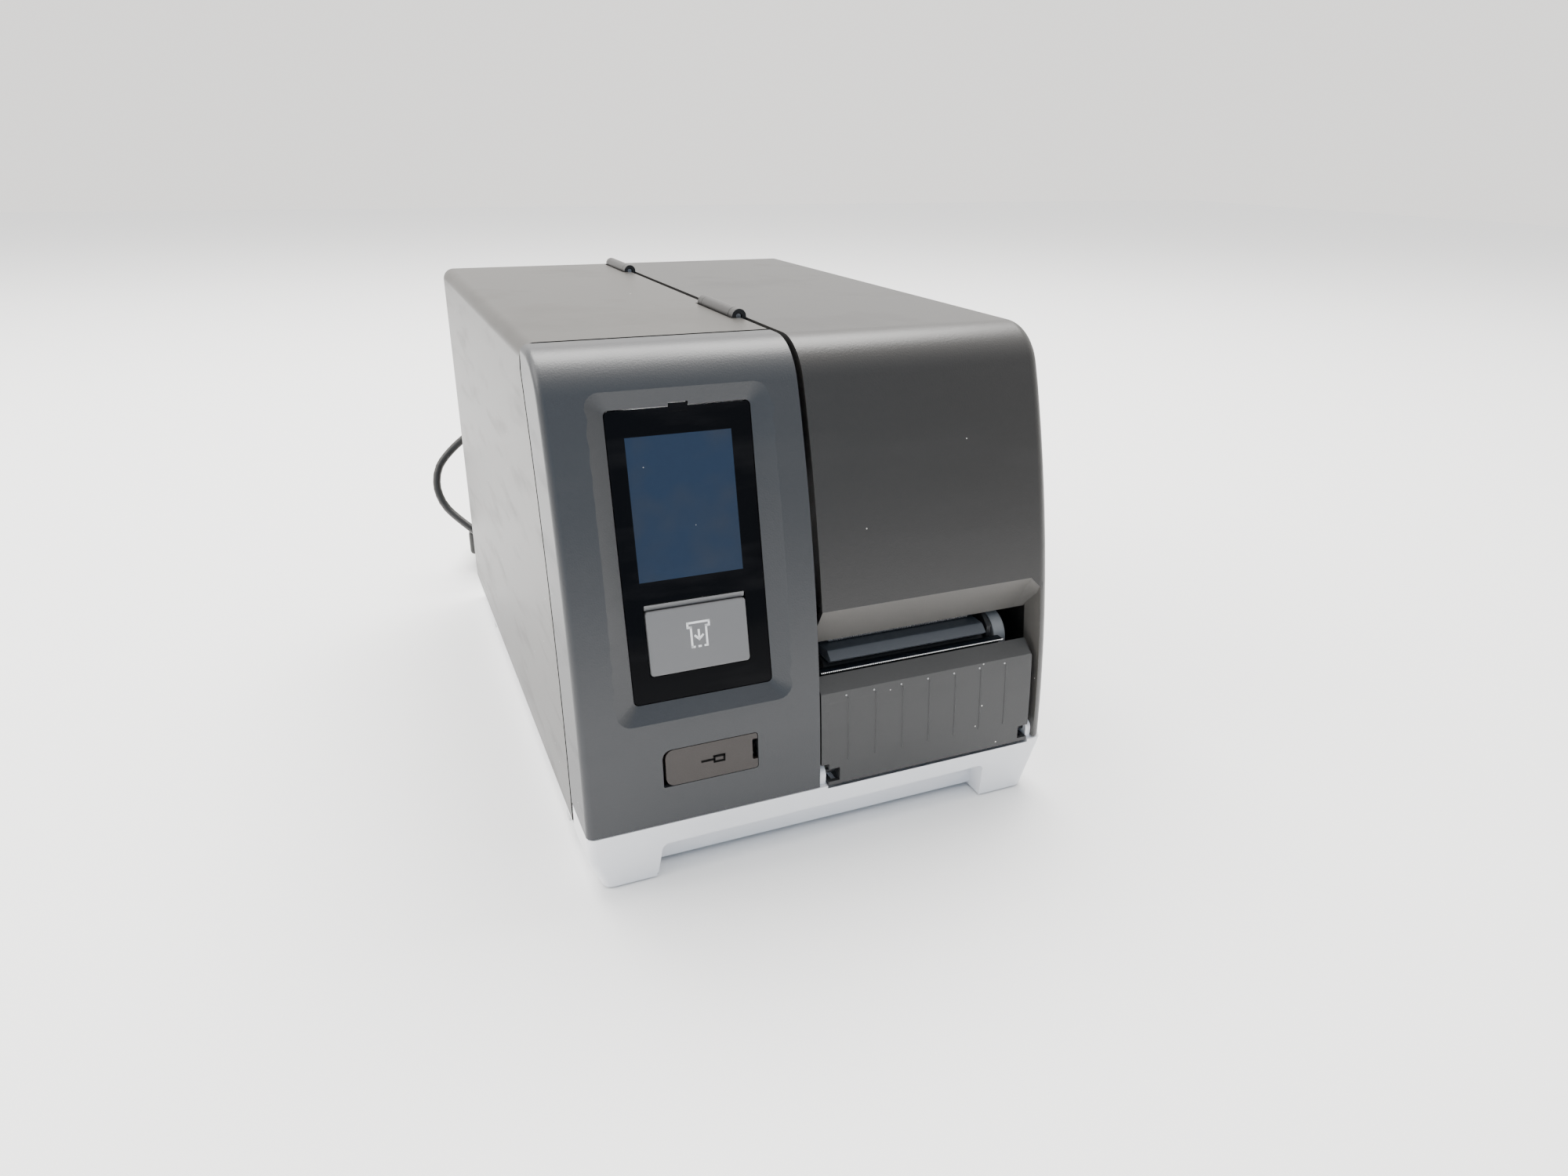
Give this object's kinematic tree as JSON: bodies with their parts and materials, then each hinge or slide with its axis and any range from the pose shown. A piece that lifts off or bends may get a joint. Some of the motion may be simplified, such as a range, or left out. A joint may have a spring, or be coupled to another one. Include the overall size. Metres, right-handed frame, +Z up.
{
  "type": "thermal label printer",
  "caption": "Tabletop label printer with a touch screen and feed key on the left, a lift-up media cover and hinged front door on the right, a light base and a mains lead.",
  "frame": {"origin": "centre of the footprint of the printer without its lead, on the surface it stands on", "axes": "+X to the right as seen from the front, +Y from the front to the rear, +Z up"},
  "size_m": [0.3068, 0.5645, 0.2805],
  "materials": {
    "cover_plastic": "fine-textured moulded graphite plastic with a soft sheen",
    "door_plastic": "satin moulded dark grey plastic",
    "light_grey_plastic": "smooth satin light grey plastic",
    "button_plastic": "satin mid-grey key",
    "black_glass": "glossy back-printed black glass over a blue-grey screen",
    "smoked_window": "smoked clear plastic",
    "black_plastic": "moulded black plastic",
    "black_rubber": "matt black rubber",
    "cord_rubber": "satin black flexible jacket",
    "steel": "bright brushed steel",
    "aluminium": "plain satin aluminium",
    "circuit_board": "green solder mask"
  },
  "bodies": {
    "chassis": {"left_cover": "cover_plastic", "display_bezel": "cover_plastic", "hinge_barrel_front": "cover_plastic", "hinge_barrel_rear": "cover_plastic", "base": "light_grey_plastic", "display_glass": "black_glass", "rear_panel": "black_plastic", "mechanism_side_plate": "black_plastic", "display_module": "black_plastic", "gap_sensor": "black_plastic", "bush_left": "black_plastic", "bush_right": "black_plastic", "media_hanger": "black_plastic", "power_inlet": "black_plastic", "switch_housing": "black_plastic", "foot_front_left": "black_rubber", "foot_front_right": "black_rubber", "foot_rear_left": "black_rubber", "foot_rear_right": "black_rubber", "drive_belt": "black_rubber", "cord_connector": "cord_rubber", "power_cord": "cord_rubber", "cord_coil": "cord_rubber", "cord_tail": "cord_rubber", "mains_plug": "cord_rubber", "side_screw_front": "steel", "side_screw_rear": "steel", "tear_bar": "steel", "head_pivot_rod": "steel", "motor_bracket": "steel", "ribbon_motor": "steel", "lower_guide_rod": "steel", "network_jack": "steel", "usb_socket": "steel", "centre_wall": "aluminium", "media_bed": "aluminium", "stepper_motor": "aluminium", "power_supply": "aluminium", "display_board": "circuit_board", "main_board": "circuit_board"},
    "media_cover": {"media_cover": "cover_plastic", "side_window": "smoked_window", "hinge_pin_front": "steel", "hinge_pin_rear": "steel"},
    "front_door": {"front_door": "door_plastic"},
    "feed_button": {"feed_button": "button_plastic"},
    "usb_cover": {"usb_cover": "cover_plastic"},
    "power_switch": {"power_switch": "black_plastic"},
    "platen": {"platen_roller": "black_rubber", "platen_shaft": "steel", "platen_pulley": "aluminium"},
    "motor_pulley": {"motor_pulley": "aluminium"},
    "ribbon_supply": {"ribbon_supply_spindle": "black_plastic"},
    "ribbon_rewind": {"ribbon_rewind_spindle": "black_plastic"},
    "idler": {"idler_roller": "black_plastic"},
    "head_lever": {"head_lift_lever": "light_grey_plastic"},
    "printhead": {"printhead": "aluminium", "printhead_bracket": "steel"},
    "edge_guide": {"media_edge_guide": "black_plastic"},
    "lower_guide": {"lower_media_guide": "light_grey_plastic"}
  },
  "joints": [
    {"name": "media_cover_hinge", "type": "hinge", "parent": "chassis", "child": "media_cover", "pos_m": [-0.01, 0, 0.2762], "axis": [0, -1, 0], "range_deg": [0, 105]},
    {"name": "front_door_hinge", "type": "hinge", "parent": "chassis", "child": "front_door", "pos_m": [0.0634, -0.204, 0.0385], "axis": [1, 0, 0], "range_deg": [0, 75]},
    {"name": "feed_button_press", "type": "slide", "parent": "chassis", "child": "feed_button", "axis": [0, 0.975, -0.2224], "range_m": [0, 0.0012], "stiffness_N_per_m": 400, "springref_m": -0.001},
    {"name": "usb_cover_hinge", "type": "hinge", "parent": "chassis", "child": "usb_cover", "pos_m": [-0.0969, -0.20885, 0.066], "axis": [0, 0, -1], "range_deg": [0, 100]},
    {"name": "power_switch_rock", "type": "hinge", "parent": "chassis", "child": "power_switch", "pos_m": [-0.11, 0.2058, 0.17], "axis": [1, 0, 0], "range_deg": [0, 20]},
    {"name": "platen_spin", "type": "hinge", "parent": "chassis", "child": "platen", "pos_m": [0, -0.183, 0.0915], "axis": [1, 0, 0], "continuous": true},
    {"name": "motor_spin", "type": "hinge", "parent": "chassis", "child": "motor_pulley", "pos_m": [0, -0.12, 0.07], "axis": [1, 0, 0], "continuous": true},
    {"name": "ribbon_supply_spin", "type": "hinge", "parent": "chassis", "child": "ribbon_supply", "pos_m": [0, -0.02, 0.205], "axis": [1, 0, 0], "continuous": true},
    {"name": "ribbon_rewind_spin", "type": "hinge", "parent": "chassis", "child": "ribbon_rewind", "pos_m": [0, -0.112, 0.2], "axis": [1, 0, 0], "continuous": true},
    {"name": "idler_spin", "type": "hinge", "parent": "chassis", "child": "idler", "pos_m": [0, -0.088, 0.074], "axis": [1, 0, 0], "continuous": true},
    {"name": "head_lever_turn", "type": "hinge", "parent": "chassis", "child": "head_lever", "pos_m": [0.118, -0.176, 0.093], "axis": [1, 0, 0], "range_deg": [0, 45]},
    {"name": "printhead_lift", "type": "hinge", "parent": "chassis", "child": "printhead", "pos_m": [0.054, -0.108, 0.112], "axis": [-1, 0, 0], "range_deg": [0, 2.7]},
    {"name": "edge_guide_slide", "type": "slide", "parent": "chassis", "child": "edge_guide", "axis": [1, 0, 0], "range_m": [-0.07, 0]},
    {"name": "lower_guide_slide", "type": "slide", "parent": "chassis", "child": "lower_guide", "axis": [1, 0, 0], "range_m": [-0.07, 0]}
  ],
  "couplings": [
    {"joint": "motor_spin", "follows": "platen_spin", "ratio": 2},
    {"joint": "printhead_lift", "follows": "head_lever_turn", "ratio": 0.06}
  ]
}
